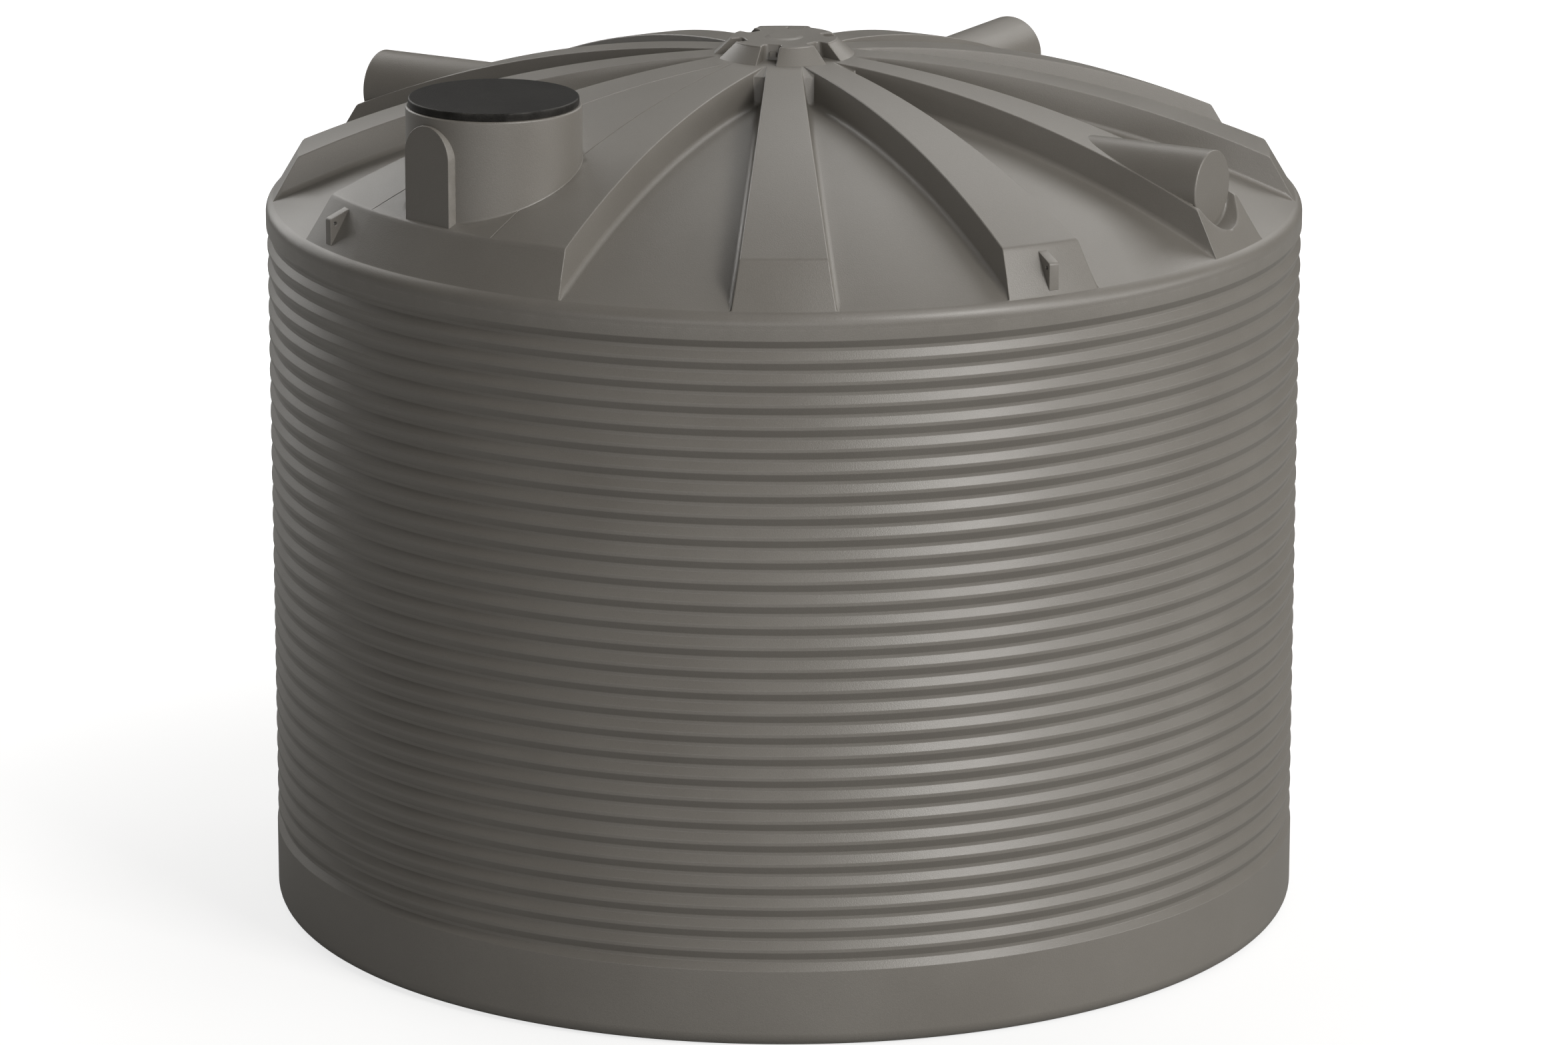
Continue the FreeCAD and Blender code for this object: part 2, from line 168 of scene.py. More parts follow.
# Camera, fitted to the photograph
CAMERA_PLACE = (0.0, -23.518, 7.808)    # metres
CAMERA_PITCH = 15.501                   # degrees down from level
CAMERA_LENS = 163.24
CAMERA_SENSOR = 36.0
CAMERA_CLIP_END = 300.0


def panel_z(r):
    """Height of the sunken bays' dome at a radius."""
    return PANEL_CENTRE_Z + np.sqrt(PANEL_DOME ** 2 - np.square(r))


def rib_z(r):
    """Height of the ribs' dome at a radius."""
    return RIB_CENTRE_Z + np.sqrt(RIB_DOME ** 2 - np.square(r))


KNUCKLE_Z = float(rib_z(KNUCKLE_R))
FOOT_Z = SHOULDER_CENTRE_Z + sqrt(SHOULDER_RADIUS ** 2 - (FOOT_R - SHOULDER_CENTRE_R) ** 2)
FACET_SLOPE = (FOOT_R - KNUCKLE_R) / (KNUCKLE_Z - FOOT_Z)
RIB_FALL = float(rib_z(CROWN_RADIUS)) - KNUCKLE_Z
RIB_SLOPE = (RIB_HALF_OUTER - RIB_HALF_INNER - DRAFT * RIB_FALL) / (KNUCKLE_R - CROWN_RADIUS)
NECK_TOP = float(rib_z(MANHOLE_R)) + NECK_RISE
HUB_TOP_Z = RIB_CENTRE_Z + RIB_DOME + HUB_RISE
BOSS_Z = KNUCKLE_Z + BOSS_LIFT


def base_z(r):
    """Height of the roof's lower skin: the sunken dome and then the shoulder's arc."""
    drop = np.maximum(SHOULDER_RADIUS ** 2 - np.square(r - SHOULDER_CENTRE_R), 0)
    return np.where(np.asarray(r) < PANEL_EDGE_R, panel_z(r), SHOULDER_CENTRE_Z + np.sqrt(drop))


def facet_r(z):
    """Radius of a rib's sloped end at a height."""
    return KNUCKLE_R + (KNUCKLE_Z - z) * FACET_SLOPE


def rib_half_width(r, z):
    """Half the width of a rib's top edge at a radius and a height."""
    return RIB_HALF_OUTER + RIB_SLOPE * (r - KNUCKLE_R) + DRAFT * (KNUCKLE_Z - z)


# Mesh helpers

def rounded(points, radii, steps=4):
    """A polyline whose corners are replaced by arcs. A radius of 0 keeps the corner."""
    straight = pi / 2 - 1e-3
    points = [np.array(p, float) for p in points]
    out = [points[0]]
    for before, corner, after, radius in zip(points, points[1:], points[2:], radii[1:-1]):
        to_before = before - corner
        to_after = after - corner
        room = 0.5 * min(np.linalg.norm(to_before), np.linalg.norm(to_after))
        to_before /= np.linalg.norm(to_before)
        to_after /= np.linalg.norm(to_after)
        half = 0.5 * np.arccos(np.clip(to_before @ to_after, -1, 1))
        if radius <= 0 or half > straight:
            out.append(corner)
            continue
        reach = min(radius / tan(half), room)
        radius = reach * tan(half)
        middle = to_before + to_after
        centre = corner + middle / np.linalg.norm(middle) * hypot(reach, radius)
        start = corner + to_before * reach - centre
        end = corner + to_after * reach - centre
        turn = pi - 2 * half
        for i in range(steps + 1):
            t = i / steps
            out.append(centre + (sin((1 - t) * turn) * start + sin(t * turn) * end) / sin(turn))
    out.append(points[-1])
    return np.array(out)


def quarter_round(radius, count):
    """Inset and set-back of points around a rounded edge, from a piece's side to its face."""
    return [(radius * (1 - cos(t)), radius * (1 - sin(t))) for t in np.linspace(0, pi / 2, count)]


def grid_faces(rows, columns, wrap_rows=False, wrap_columns=False):
    """Quads of a grid whose points run along its columns first."""
    faces = []
    for i in range(rows if wrap_rows else rows - 1):
        for j in range(columns if wrap_columns else columns - 1):
            i2 = (i + 1) % rows
            j2 = (j + 1) % columns
            faces.append((i * columns + j, i * columns + j2, i2 * columns + j2, i2 * columns + j))
    return faces


def stacked(rings, flip=False):
    """A closed skin through rings of equally many points, with a cap on each end."""
    columns = len(rings[0])
    last = (len(rings) - 1) * columns
    faces = grid_faces(len(rings), columns, False, True)
    faces.append(tuple(range(last, last + columns)))
    faces.append(tuple(range(columns - 1, -1, -1)))
    return np.concatenate(rings), [f[::-1] for f in faces] if flip else faces


def at_bearing(r, bearing, z):
    """Points from radii, bearings in degrees and heights."""
    angle = np.radians(bearing)
    return np.stack(np.broadcast_arrays(r * np.sin(angle), -r * np.cos(angle), z), -1)


def turned(points, bearing):
    """Points built with +X outwards and Y across, turned to a bearing."""
    points = np.asarray(points, float)
    angle = radians(bearing - 90)
    x = points[..., 0] * cos(angle) - points[..., 1] * sin(angle)
    y = points[..., 0] * sin(angle) + points[..., 1] * cos(angle)
    return np.stack([x, y, points[..., 2]], -1)


def turn_matrix(angle):
    """Turns flat points by an angle in degrees."""
    angle = radians(angle)
    return np.array([[cos(angle), -sin(angle)], [sin(angle), cos(angle)]])


def add_piece(name, points, faces, material, nodes=(), body="tank",
              sharp=None):
    """Makes a smooth piece from points in millimetres, and lets it stand for its CAD nodes.

    Edges that turn by more than sharp degrees stay sharp.
    """
    mesh = bpy.data.meshes.new(name)
    mesh.from_pydata((np.asarray(points, float) * METRES).tolist(), [], faces)
    mesh.validate()
    mesh.update()
    piece = bpy.data.objects.new(name, mesh)
    bpy.context.scene.collection.objects.link(piece)
    mesh.polygons.foreach_set("use_smooth", [True] * len(mesh.polygons))
    if sharp is not None:
        mesh.set_sharp_from_angle(angle=radians(sharp))
    mesh.materials.append(material)
    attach(piece, body)
    if nodes:
        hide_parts(*nodes)
    return piece


def even_normals(piece):
    """Large faces keep their own direction, so roundings stay narrow in the light."""
    modifier = piece.modifiers.new("even_normals", "WEIGHTED_NORMAL")
    modifier.mode = "FACE_AREA"
    modifier.keep_sharp = True


def spun(profile, steps):
    """A closed profile of (r, z) points turned once about the axis. It runs down on the outside."""
    bearings = np.arange(steps) * 360.0 / steps
    points = at_bearing(profile[None, :, 0], bearings[:, None], profile[None, :, 1])
    return points.reshape(-1, 3), grid_faces(steps, len(profile), True, True)


def spun_solid(profile, steps):
    """A profile from the axis, down on the outside and back to the axis, turned once."""
    columns = len(profile) - 2
    bearings = np.arange(steps) * 360.0 / steps
    rings = at_bearing(profile[None, 1:-1, 0], bearings[:, None], profile[None, 1:-1, 1])
    first = steps * columns
    last = first + 1
    points = np.vstack([rings.reshape(-1, 3), [(0, 0, profile[0][1]), (0, 0, profile[-1][1])]])
    faces = grid_faces(steps, columns, True, False)
    for i in range(steps):
        here = i * columns
        after = (i + 1) % steps * columns
        faces.append((first, here, after))
        faces.append((here + columns - 1, last, after + columns - 1))
    return points, faces


# Shader helpers

def new_group(name, inputs, outputs):
    """Shader node group with number sockets: (name, default) in and names out."""
    group = bpy.data.node_groups.new(name, "ShaderNodeTree")
    kind = "NodeSocketFloat"
    for label, default in inputs:
        socket = group.interface.new_socket(label, in_out="INPUT", socket_type=kind)
        socket.default_value = default
    for label in outputs:
        group.interface.new_socket(label, in_out="OUTPUT", socket_type=kind)
    return group, group.nodes.new("NodeGroupInput"), group.nodes.new("NodeGroupOutput")


def add_node(tree, kind, links=(), **values):
    """A node with properties set, and its inputs linked or set by name or number."""
    node = tree.nodes.new(kind)
    for key, value in values.items():
        setattr(node, key, value)
    for socket, source in links:
        if isinstance(source, bpy.types.NodeSocket):
            tree.links.new(source, node.inputs[socket])
        else:
            node.inputs[socket].default_value = source
    return node


def computed(tree, operation, *terms):
    """Result of a sum, a product or the like."""
    node = add_node(tree, "ShaderNodeMath", enumerate(terms), operation=operation)
    return node.outputs[0]


def stretched(tree, value, low, high, to_low=0.0, to_high=1.0, ease="LINEAR"):
    """A value whose range from low to high is stretched to another range."""
    node = add_node(tree, "ShaderNodeMapRange", [
        ("Value", value), ("From Min", low), ("From Max", high), ("To Min", to_low),
        ("To Max", to_high)], interpolation_type=ease)
    return node.outputs[0]


def noise(tree, place, scale, detail, roughness):
    """Cloudy noise at a place."""
    node = add_node(tree, "ShaderNodeTexNoise", [
        ("Vector", place), ("Scale", scale), ("Detail", detail), ("Roughness", roughness)])
    return node.outputs[0]


def mixed_colour(tree, share, first, second):
    """Colour between two others. The mix node's colour sockets go by number."""
    node = add_node(tree, "ShaderNodeMix", [(0, share), (6, first), (7, second)],
                    data_type="RGBA")
    return node.outputs[2]


# Finishes

def make_grain_group():
    """Fine moulded grain and slow mottling of a plastic skin."""
    group, given, out = new_group(
        "moulded_grain", [("Grain Scale", 400.0), ("Mottle Scale", 3.0)],
        ["Grain", "Mottle", "Speckle"])
    grain_scale = given.outputs["Grain Scale"]
    place = add_node(group, "ShaderNodeTexCoord").outputs["Object"]
    fine = noise(group, place, grain_scale, detail=3.0, roughness=0.6)
    slow = noise(group, place, given.outputs["Mottle Scale"], detail=5.0, roughness=0.55)
    half_scale = computed(group, "MULTIPLY", grain_scale, 0.5)
    cells = add_node(group, "ShaderNodeTexVoronoi", [
        ("Vector", place), ("Scale", half_scale), ("Randomness", 1.0)], feature="F1")
    pits = stretched(group, cells.outputs["Distance"], low=0.0, high=0.7)
    group.links.new(computed(group, "MULTIPLY", fine, pits), out.inputs["Grain"])
    group.links.new(slow, out.inputs["Mottle"])
    group.links.new(fine, out.inputs["Speckle"])
    return group


def make_dust_group():
    """Thin dust that settles on faces that look up, in uneven patches."""
    group, given, out = new_group(
        "settled_dust", [("Patch Scale", 2.0), ("Amount", 0.5)], ["Dust"])
    geometry = add_node(group, "ShaderNodeNewGeometry")
    upward = add_node(group, "ShaderNodeSeparateXYZ", [(0, geometry.outputs["Normal"])])
    lying = stretched(group, upward.outputs["Z"], low=0.25, high=1.0, ease="SMOOTHSTEP")
    patches = noise(group, geometry.outputs["Position"], given.outputs["Patch Scale"],
                    detail=6.0, roughness=0.6)
    uneven = stretched(group, patches, low=0.3, high=0.75)
    both = computed(group, "MULTIPLY", lying, uneven)
    amount = computed(group, "MULTIPLY", both, given.outputs["Amount"])
    group.links.new(amount, out.inputs["Dust"])
    return group


def make_edge_abrasion_and_highlight_group():
    """Mask of outer edges, broken up by noise: partly abrasion, partly a painted highlight."""
    group, given, out = new_group(
        "rubbed_and_highlit_edges", [("Width", 0.06), ("Amount", 0.5)], ["Wear"])
    edge_start = 0.51  # a pointiness of 0.5 is flat
    edge_end = computed(group, "ADD", given.outputs["Width"], edge_start)
    geometry = add_node(group, "ShaderNodeNewGeometry")
    # Convex edges turn pale: partly abrasion, partly a painted highlight where edges would catch
    # the light
    edge = stretched(group, geometry.outputs["Pointiness"], edge_start, edge_end)
    place = add_node(group, "ShaderNodeTexCoord").outputs["Object"]
    edge_breakup = noise(group, place, scale=14.0, detail=6.0, roughness=0.7)
    broken = stretched(group, edge_breakup, low=0.35, high=0.65)
    both = computed(group, "MULTIPLY", edge, broken)
    amount = computed(group, "MULTIPLY", both, given.outputs["Amount"])
    group.links.new(amount, out.inputs["Wear"])
    return group


def make_plastic(name, groups, dark, light, dust, edge_abrasion_and_highlight_colour, grain_scale, mottle_scale, dust_amount,
                 abrasion_and_highlight_amount, abrasion_and_highlight_width, rough_low, rough_high, grain_depth, specular):
    """Moulded plastic: mottled colour, dust on top, pale edges that are partly abrasion and partly
    a painted highlight, and a fine grain.
    """
    mottle_range = (0.3, 0.7)
    speckle_range = (0.2, 0.8)
    speckle_gain = (0.85, 1.15)
    dust_roughness = 0.25
    material = bpy.data.materials.new(name)
    material.use_nodes = True
    tree = material.node_tree
    shader = tree.nodes["Principled BSDF"]
    shader.inputs["Specular IOR Level"].default_value = specular

    grain = add_node(tree, "ShaderNodeGroup", node_tree=groups["grain"])
    grain.inputs["Grain Scale"].default_value = grain_scale
    grain.inputs["Mottle Scale"].default_value = mottle_scale
    settled = add_node(tree, "ShaderNodeGroup", node_tree=groups["dust"])
    settled.inputs["Amount"].default_value = dust_amount
    # Pale edges: partly abrasion, partly a painted highlight
    edge_abrasion_and_highlight = add_node(tree, "ShaderNodeGroup", node_tree=groups["abrasion_and_highlight"])
    edge_abrasion_and_highlight.inputs["Width"].default_value = abrasion_and_highlight_width
    edge_abrasion_and_highlight.inputs["Amount"].default_value = abrasion_and_highlight_amount

    tone = stretched(tree, grain.outputs["Mottle"], *mottle_range)
    colour = mixed_colour(tree, tone, (*dark, 1), (*light, 1))
    speckle = stretched(tree, grain.outputs["Speckle"], *speckle_range, *speckle_gain)
    speckled = add_node(tree, "ShaderNodeVectorMath", [(0, colour), ("Scale", speckle)],
                        operation="SCALE")
    dusty = mixed_colour(tree, settled.outputs["Dust"], speckled.outputs[0], (*dust, 1))
    # Pale edge colour: partly abrasion, partly a painted highlight
    abraded_and_highlit = mixed_colour(tree, edge_abrasion_and_highlight.outputs["Wear"], dusty, (*edge_abrasion_and_highlight_colour, 1))
    tree.links.new(abraded_and_highlit, shader.inputs["Base Color"])

    sheen = stretched(tree, grain.outputs["Mottle"], *mottle_range, rough_low, rough_high)
    dulled = computed(tree, "MULTIPLY_ADD", settled.outputs["Dust"], dust_roughness, sheen)
    tree.links.new(dulled, shader.inputs["Roughness"])

    bump = add_node(tree, "ShaderNodeBump", [
        ("Height", grain.outputs["Grain"]), ("Strength", 1.0), ("Distance", grain_depth)])
    tree.links.new(bump.outputs[0], shader.inputs["Normal"])
    return material


def make_finishes():
    """Grey-brown plastic of the tank and black plastic of the lid."""
    groups = {"grain": make_grain_group(), "dust": make_dust_group(), "abrasion_and_highlight": make_edge_abrasion_and_highlight_group()}
    # The tank's pale edge colour paints a highlight along convex edges as well as abrasion
    tank = make_plastic(
        "tank_polyethylene", groups, dark=(0.161, 0.149, 0.132), light=(0.179, 0.167, 0.149),
        dust=(0.240, 0.225, 0.203), edge_abrasion_and_highlight_colour=(0.265, 0.25, 0.228), grain_scale=420.0,
        mottle_scale=2.2, dust_amount=0.12, abrasion_and_highlight_amount=0.45, abrasion_and_highlight_width=0.04, rough_low=0.40,
        rough_high=0.46, grain_depth=0.0003, specular=0.9)
    # The lid's pale edge colour and amount paint the rim's highlight line as well as abrasion
    lid = make_plastic(
        "lid_black_plastic", groups, dark=(0.0076, 0.0070, 0.0061),
        light=(0.0112, 0.0104, 0.0092), dust=(0.042, 0.039, 0.034), edge_abrasion_and_highlight_colour=(0.14, 0.135, 0.126),
        grain_scale=320.0, mottle_scale=5.0, dust_amount=0.10, abrasion_and_highlight_amount=0.7, abrasion_and_highlight_width=0.03,
        rough_low=0.42, rough_high=0.48, grain_depth=0.0005, specular=0.16)
    return tank, lid


# Wall

def make_wall(material):
    """Base band, corrugations and the upright of the shoulder, with a plain inside."""
    band_rings = (100.0, 150.0)  # heights of points on the base band
    band_end = BASE_BAND_HEIGHT - 60.0
    corners = [(OUTER_RADIUS, band_end), (OUTER_RADIUS, BASE_BAND_HEIGHT)]
    for i in range(CORRUGATIONS + 1):
        valley_foot = BASE_BAND_HEIGHT + i * PITCH + FLANK
        corners += [(VALLEY_RADIUS, valley_foot), (VALLEY_RADIUS, valley_foot + FLAT)]
        if i < CORRUGATIONS:
            crest_foot = valley_foot + FLAT + FLANK
            corners += [(CREST_RADIUS, crest_foot), (CREST_RADIUS, crest_foot + FLAT)]
    corners += [(OUTER_RADIUS, SHOULDER_FOOT), (OUTER_RADIUS, WALL_TOP - SEAM_RING)]
    radii = [0.0] + [CORNER_RADIUS] * (len(corners) - 2) + [0.0]
    outside = rounded(corners, radii, steps=2)

    edge_r = OUTER_RADIUS - BASE_EDGE_RADIUS
    turn = np.linspace(-pi / 2, 0, BASE_EDGE_POINTS)
    edge = np.column_stack([edge_r + BASE_EDGE_RADIUS * np.cos(turn),
                            BASE_EDGE_RADIUS * (1 + np.sin(turn))])
    band = [(OUTER_RADIUS, z) for z in band_rings]

    shoulder_r = OUTER_RADIUS - WALL  # inside the shoulder
    inside_r = VALLEY_RADIUS - WALL  # inside the corrugations
    inside_slope = 20.0  # height of the slope between the two
    inside_edge = 40.0  # height of the base edge, inside
    inside = [(OUTER_RADIUS, WALL_TOP), (shoulder_r, WALL_TOP), (shoulder_r, SHOULDER_FOOT),
              (inside_r, SHOULDER_FOOT - inside_slope), (inside_r, BASE_BAND_HEIGHT),
              (inside_r, inside_edge), (edge_r, WALL)]
    profile = np.vstack([edge, band, outside, inside])
    points, faces = spun(profile[::-1], WALL_STEPS)
    nodes = [f"wall_segment_{i}" for i in range(1, WALL_SEGMENTS + 1)]
    piece = add_piece("tank_wall", points, faces, material, nodes, sharp=60)
    even_normals(piece)


# Roof

def rib_top_line(dome, arc):
    """Points along the middle of a rib, with a fine line across its knuckle."""
    scribe_depth = 1.2
    scribe_reach = 3.5  # to both sides of the knuckle
    scribe_inset = 1.0
    scribe_start = KNUCKLE_R - scribe_reach
    scribe_end = KNUCKLE_Z - scribe_reach
    top = [(r, float(rib_z(r))) for r in dome]
    top += [(scribe_start, float(rib_z(scribe_start))),
            (KNUCKLE_R - scribe_inset, KNUCKLE_Z - scribe_depth),
            (facet_r(scribe_end), scribe_end), (FOOT_R, FOOT_Z)]
    knuckle_rounds = [1.0, 0.8, 1.0]
    foot_round = 7.0
    radii = [0] * len(dome) + knuckle_rounds + [foot_round] + [0] * len(arc)
    return rounded(top + arc, radii, steps=3)


def bay_floor_line(clear_r):
    """Points along the middle of a bay, from the crown down its skirt to a radius on the dome."""
    lip_r = HUB_BASE + 2.0
    ramp_r, ramp_drop = 317.0, 15.0
    root_r = CROWN_RADIUS - 1.0
    floor = [(ROOF_START_R, float(rib_z(ROOF_START_R))), (lip_r, float(rib_z(lip_r))),
             (ramp_r, float(rib_z(ramp_r)) - ramp_drop), (root_r, float(panel_z(root_r))),
             (clear_r, float(panel_z(clear_r)))]
    return rounded(floor, [0, 4.0, 5.0, 16.0, 0])


def roof_lines():
    """Stations of the roof from the crown out to the shoulder: radius, rib top, bay floor."""
    crown_end, crown_rings = 420.0, 12
    dome_start, dome_end, dome_rings = 470.0, KNUCKLE_R - 40.0, 20
    dome = np.concatenate([np.linspace(ROOF_START_R, crown_end, crown_rings),
                           np.linspace(dome_start, dome_end, dome_rings)])
    arc_start = degrees(asin(SHOULDER_CENTRE_R / (PANEL_DOME - SHOULDER_RADIUS)))
    arc_rings = 12
    arc = np.radians(np.linspace(arc_start, 90, arc_rings))
    arc_r = SHOULDER_CENTRE_R + SHOULDER_RADIUS * np.sin(arc)
    arc_z = SHOULDER_CENTRE_Z + SHOULDER_RADIUS * np.cos(arc)
    foot_end = FOOT_R + 3.0  # where the arc goes on after a rib's foot
    past_foot = arc_r > foot_end
    top = rib_top_line(dome, list(zip(arc_r[past_foot], arc_z[past_foot])))
    clear_r = 400.0  # where a bay's floor has left the crown's skirt
    floor = bay_floor_line(clear_r)

    rim_rings = 3  # last rings of the arc, which all bays share
    least_gap = 0.4  # between two rings
    dome_limit = KNUCKLE_R - 30.0  # the rings of a rib's end lie between these two
    end_limit = FOOT_R + 12.0
    edge = top[(top[:, 0] > dome_limit) & (top[:, 0] < end_limit), 0]
    scoop = BOSS_FACE_R + np.array(SCOOP_RINGS)
    radii = np.concatenate([dome, floor[:-1, 0], edge, scoop, arc_r[:-rim_rings]])
    radii = np.unique(np.round(radii, 2))
    radii = radii[np.concatenate([[True], np.diff(radii) > least_gap])]

    top_z = np.interp(radii, top[:, 0], top[:, 1])
    on_dome = radii < dome_limit
    top_z[on_dome] = rib_z(radii[on_dome])
    skirt_end = clear_r - 5.0
    on_skirt = radii < skirt_end
    floor_z = np.where(on_skirt, np.interp(radii, floor[:, 0], floor[:, 1]), base_z(radii))
    merge_r = FOOT_R + 8.0  # past it, ribs and bays are one skin
    on_arc = radii > merge_r
    top_z[on_arc] = floor_z[on_arc]
    floor_z = np.minimum(floor_z, top_z)
    rim_r = np.concatenate([arc_r[-rim_rings:], [OUTER_RADIUS, OUTER_RADIUS]])
    rim_z = np.concatenate([arc_z[-rim_rings:], [WALL_TOP + SEAM_RING, WALL_TOP]])
    return (np.concatenate([radii, rim_r]), np.concatenate([top_z, rim_z]),
            np.concatenate([floor_z, rim_z]))


def side_profile(height, room):
    """Section of a rib's side with rounded top and root: run into the bay and share of height."""
    least_height = 0.05  # a lower side is left flat
    share = np.linspace(0, 1, SIDE_POINTS)
    if height > least_height:
        run = height * DRAFT
        top_round = min(TOP_EDGE_ROUND, 0.45 * height)
        root_room = max(0.5, 1.05 * (FULL_BAY * room - run))
        root_round = min(ROOT_ROUND, 0.5 * height, root_room)
        flat = 60.0  # level stretches beside the two corners
        line = rounded([(-flat, height), (0, height), (run, 0), (run + flat, 0)],
                       [0, top_round, root_round, 0], SIDE_ARC_STEPS)[1:-1]
        halfway = SIDE_ARC_STEPS + 1
        line = np.insert(line, halfway, 0.5 * (line[halfway - 1] + line[halfway]), 0)
        into, up = line[:, 0], line[:, 1] / height
    else:
        into, up = np.zeros(SIDE_POINTS), 1 - share

    # The points of a side that runs out are spread, so that no two of them meet
    fade_height, full_reach, start = 6.0, 20.0, 0.2
    spread = float(np.exp(-height / fade_height))
    reach = min(full_reach, 0.5 * room)
    return into + spread * (reach * share - start * reach), up


def scribed_line(r, room, top_z):
    """Fine groove between the platform's ribs and its infill: run across it and heights."""
    groove_width, groove_depth = 7.0, 6.0
    groove_half, start = 0.3, 0.2  # shares of the width
    full_r = 300.0  # the groove has its full depth from here
    end_r = KNUCKLE_R - 6.0
    foot_r, foot_width = FOOT_R + 10.0, 20.0
    share = np.linspace(0, 1, SIDE_POINTS)
    fade = np.interp(r, [HUB_BASE + 4.0, full_r, end_r - 6.0, end_r], [0, 1, 1, 0])
    width = np.interp(r, [ROOF_START_R, full_r, end_r, foot_r],
                      [0.5 * room, groove_width, groove_width, foot_width])
    groove = np.maximum(0, 1 - np.abs(share - 0.5) / groove_half)
    return width * (share - start), top_z - groove_depth * fade * groove


def scoop_columns(r, half, top_z):
    """Rib top that is hollowed out around a pipe boss: offsets across it and heights."""
    least_chord, edge_room = 9.0, 6.0
    blend = 5.0  # soft edge of the scoop
    scoop_start = BOSS_FACE_R - 4.5
    outer_points = 5  # beyond the scoop
    depth = BOSS_Z - top_z
    chord = sqrt(max(SCOOP_RADIUS ** 2 - depth ** 2, 0)) if depth > 0 else SCOOP_RADIUS
    chord = min(max(chord, least_chord), half - edge_room)
    inner = np.linspace(0, 1, SCOOP_POINTS + 1 - outer_points) ** 0.8 * chord
    outer = np.linspace(chord, half, outer_points + 1)[1:]
    across = np.concatenate([inner, outer])
    across = np.concatenate([-across[:0:-1], across])
    heights = np.full(len(across), top_z)
    if r > scoop_start:
        bowl = BOSS_Z - np.sqrt(np.maximum(SCOOP_RADIUS ** 2 - across ** 2, 0))
        near = np.clip(0.5 + 0.5 * (heights - bowl) / blend, 0, 1)
        heights = heights * (1 - near) + bowl * near - blend * near * (1 - near)
    return across, heights


def rib_section(rib, r, top_z, floor_z):
    """Bearings and heights across one rib and half a bay on each side of it, at a radius."""
    half_bay = BAY / 2
    sine = min(rib_half_width(r, top_z) / r, FULL_BAY * sin(radians(half_bay)))
    half_angle = degrees(asin(sine))
    room = r * radians(half_bay - half_angle)
    sides = []
    for side in (-1, 1):
        off_manhole = (rib + side * half_bay - MANHOLE_BEARING + 180) % 360 - 180
        if abs(off_manhole) < 1:
            low = top_z
            into, level = scribed_line(r, room, top_z)
        else:
            low = floor_z
            into, up = side_profile(top_z - low, room)
            level = low + up * (top_z - low)
        wall = half_angle + np.degrees(into / r)
        floor = np.linspace(wall[-1], half_bay, FLOOR_POINTS + 1)[1:]
        sides.append((np.concatenate([wall, floor]),
                      np.concatenate([level, np.full(FLOOR_POINTS, low)])))
    (left, left_level), (right, right_level) = sides

    top_edge = min(left[0], right[0])
    if rib in BOSS_BEARINGS:
        across, level = scoop_columns(r, r * sin(radians(top_edge)), top_z)
        middle, level = np.degrees(np.arcsin(across / r))[1:-1], level[1:-1]
    else:
        middle = np.linspace(-top_edge, top_edge, TOP_POINTS + 2)[1:-1]
        level = np.full(TOP_POINTS, top_z)
    return (np.concatenate([-left[::-1][1:], middle, right]) + rib,
            np.concatenate([left_level[::-1][1:], level, right_level]))


def open_hatch(points, faces):
    """Cuts the roof's faces along a circle inside the neck's wall, and drops what is within it."""
    hole = NECK_RADIUS - WALL / 2
    centre = at_bearing(MANHOLE_R, MANHOLE_BEARING, 0.0)[:2]
    beyond = np.linalg.norm(points[:, :2] - centre, axis=1) - hole
    points = list(points)
    crossings = {}

    def crossing(a, b):
        edge = (min(a, b), max(a, b))
        if edge not in crossings:
            share = beyond[edge[0]] / (beyond[edge[0]] - beyond[edge[1]])
            crossings[edge] = len(points)
            points.append(points[edge[0]] + share * (points[edge[1]] - points[edge[0]]))
        return crossings[edge]

    kept = []
    for face in faces:
        line = []
        for a, b in zip(face, face[1:] + face[:1]):
            if beyond[a] >= 0:
                line.append(a)
            if (beyond[a] >= 0) != (beyond[b] >= 0):
                line.append(crossing(a, b))
        if len(line) > 2:
            kept.append(line)
    used = sorted({k for line in kept for k in line})
    place = {k: i for i, k in enumerate(used)}
    return np.array([points[k] for k in used]), [tuple(place[k] for k in line) for line in kept]


def make_roof(material):
    """Ribs, sunken bays, crown and manhole platform in one moulding, with the shoulder's arc."""
    rows = []
    for r, top_z, floor_z in zip(*roof_lines()):
        sections = [rib_section(i * BAY, r, top_z, floor_z) for i in range(RIBS)]
        bearings, heights = (np.concatenate(part) for part in zip(*sections))
        rows.append(at_bearing(r, bearings, heights))
    columns = len(rows[0])
    faces = grid_faces(len(rows), columns, False, True)
    apex = len(rows) * columns
    points = np.vstack([*rows, [(0, 0, float(rib_z(0)))]])
    faces += [(apex, (j + 1) % columns, j) for j in range(columns)]
    points, faces = open_hatch(points, faces)
    nodes = [f"roof_rib_{i:02d}" for i in range(1, 11)]
    nodes += [f"roof_panel_{i:02d}" for i in range(1, 12)]
    piece = add_piece("roof_moulding", points, [f[::-1] for f in faces], material,
                      nodes + ["roof_crown", "manhole_platform"])

    # The seam's edge stays sharp, so that the skin is lit as the wall below it is
    mesh = piece.data
    seam_z = (WALL_TOP + SEAM_RING / 2) * METRES
    for edge in mesh.edges:
        if all(mesh.vertices[k].co.z < seam_z for k in edge.vertices):
            edge.use_edge_sharp = True
    shell = piece.modifiers.new("shell", "SOLIDIFY")
    shell.thickness = WALL * METRES
    shell.offset = -1
    even_normals(piece)


# Crown hub

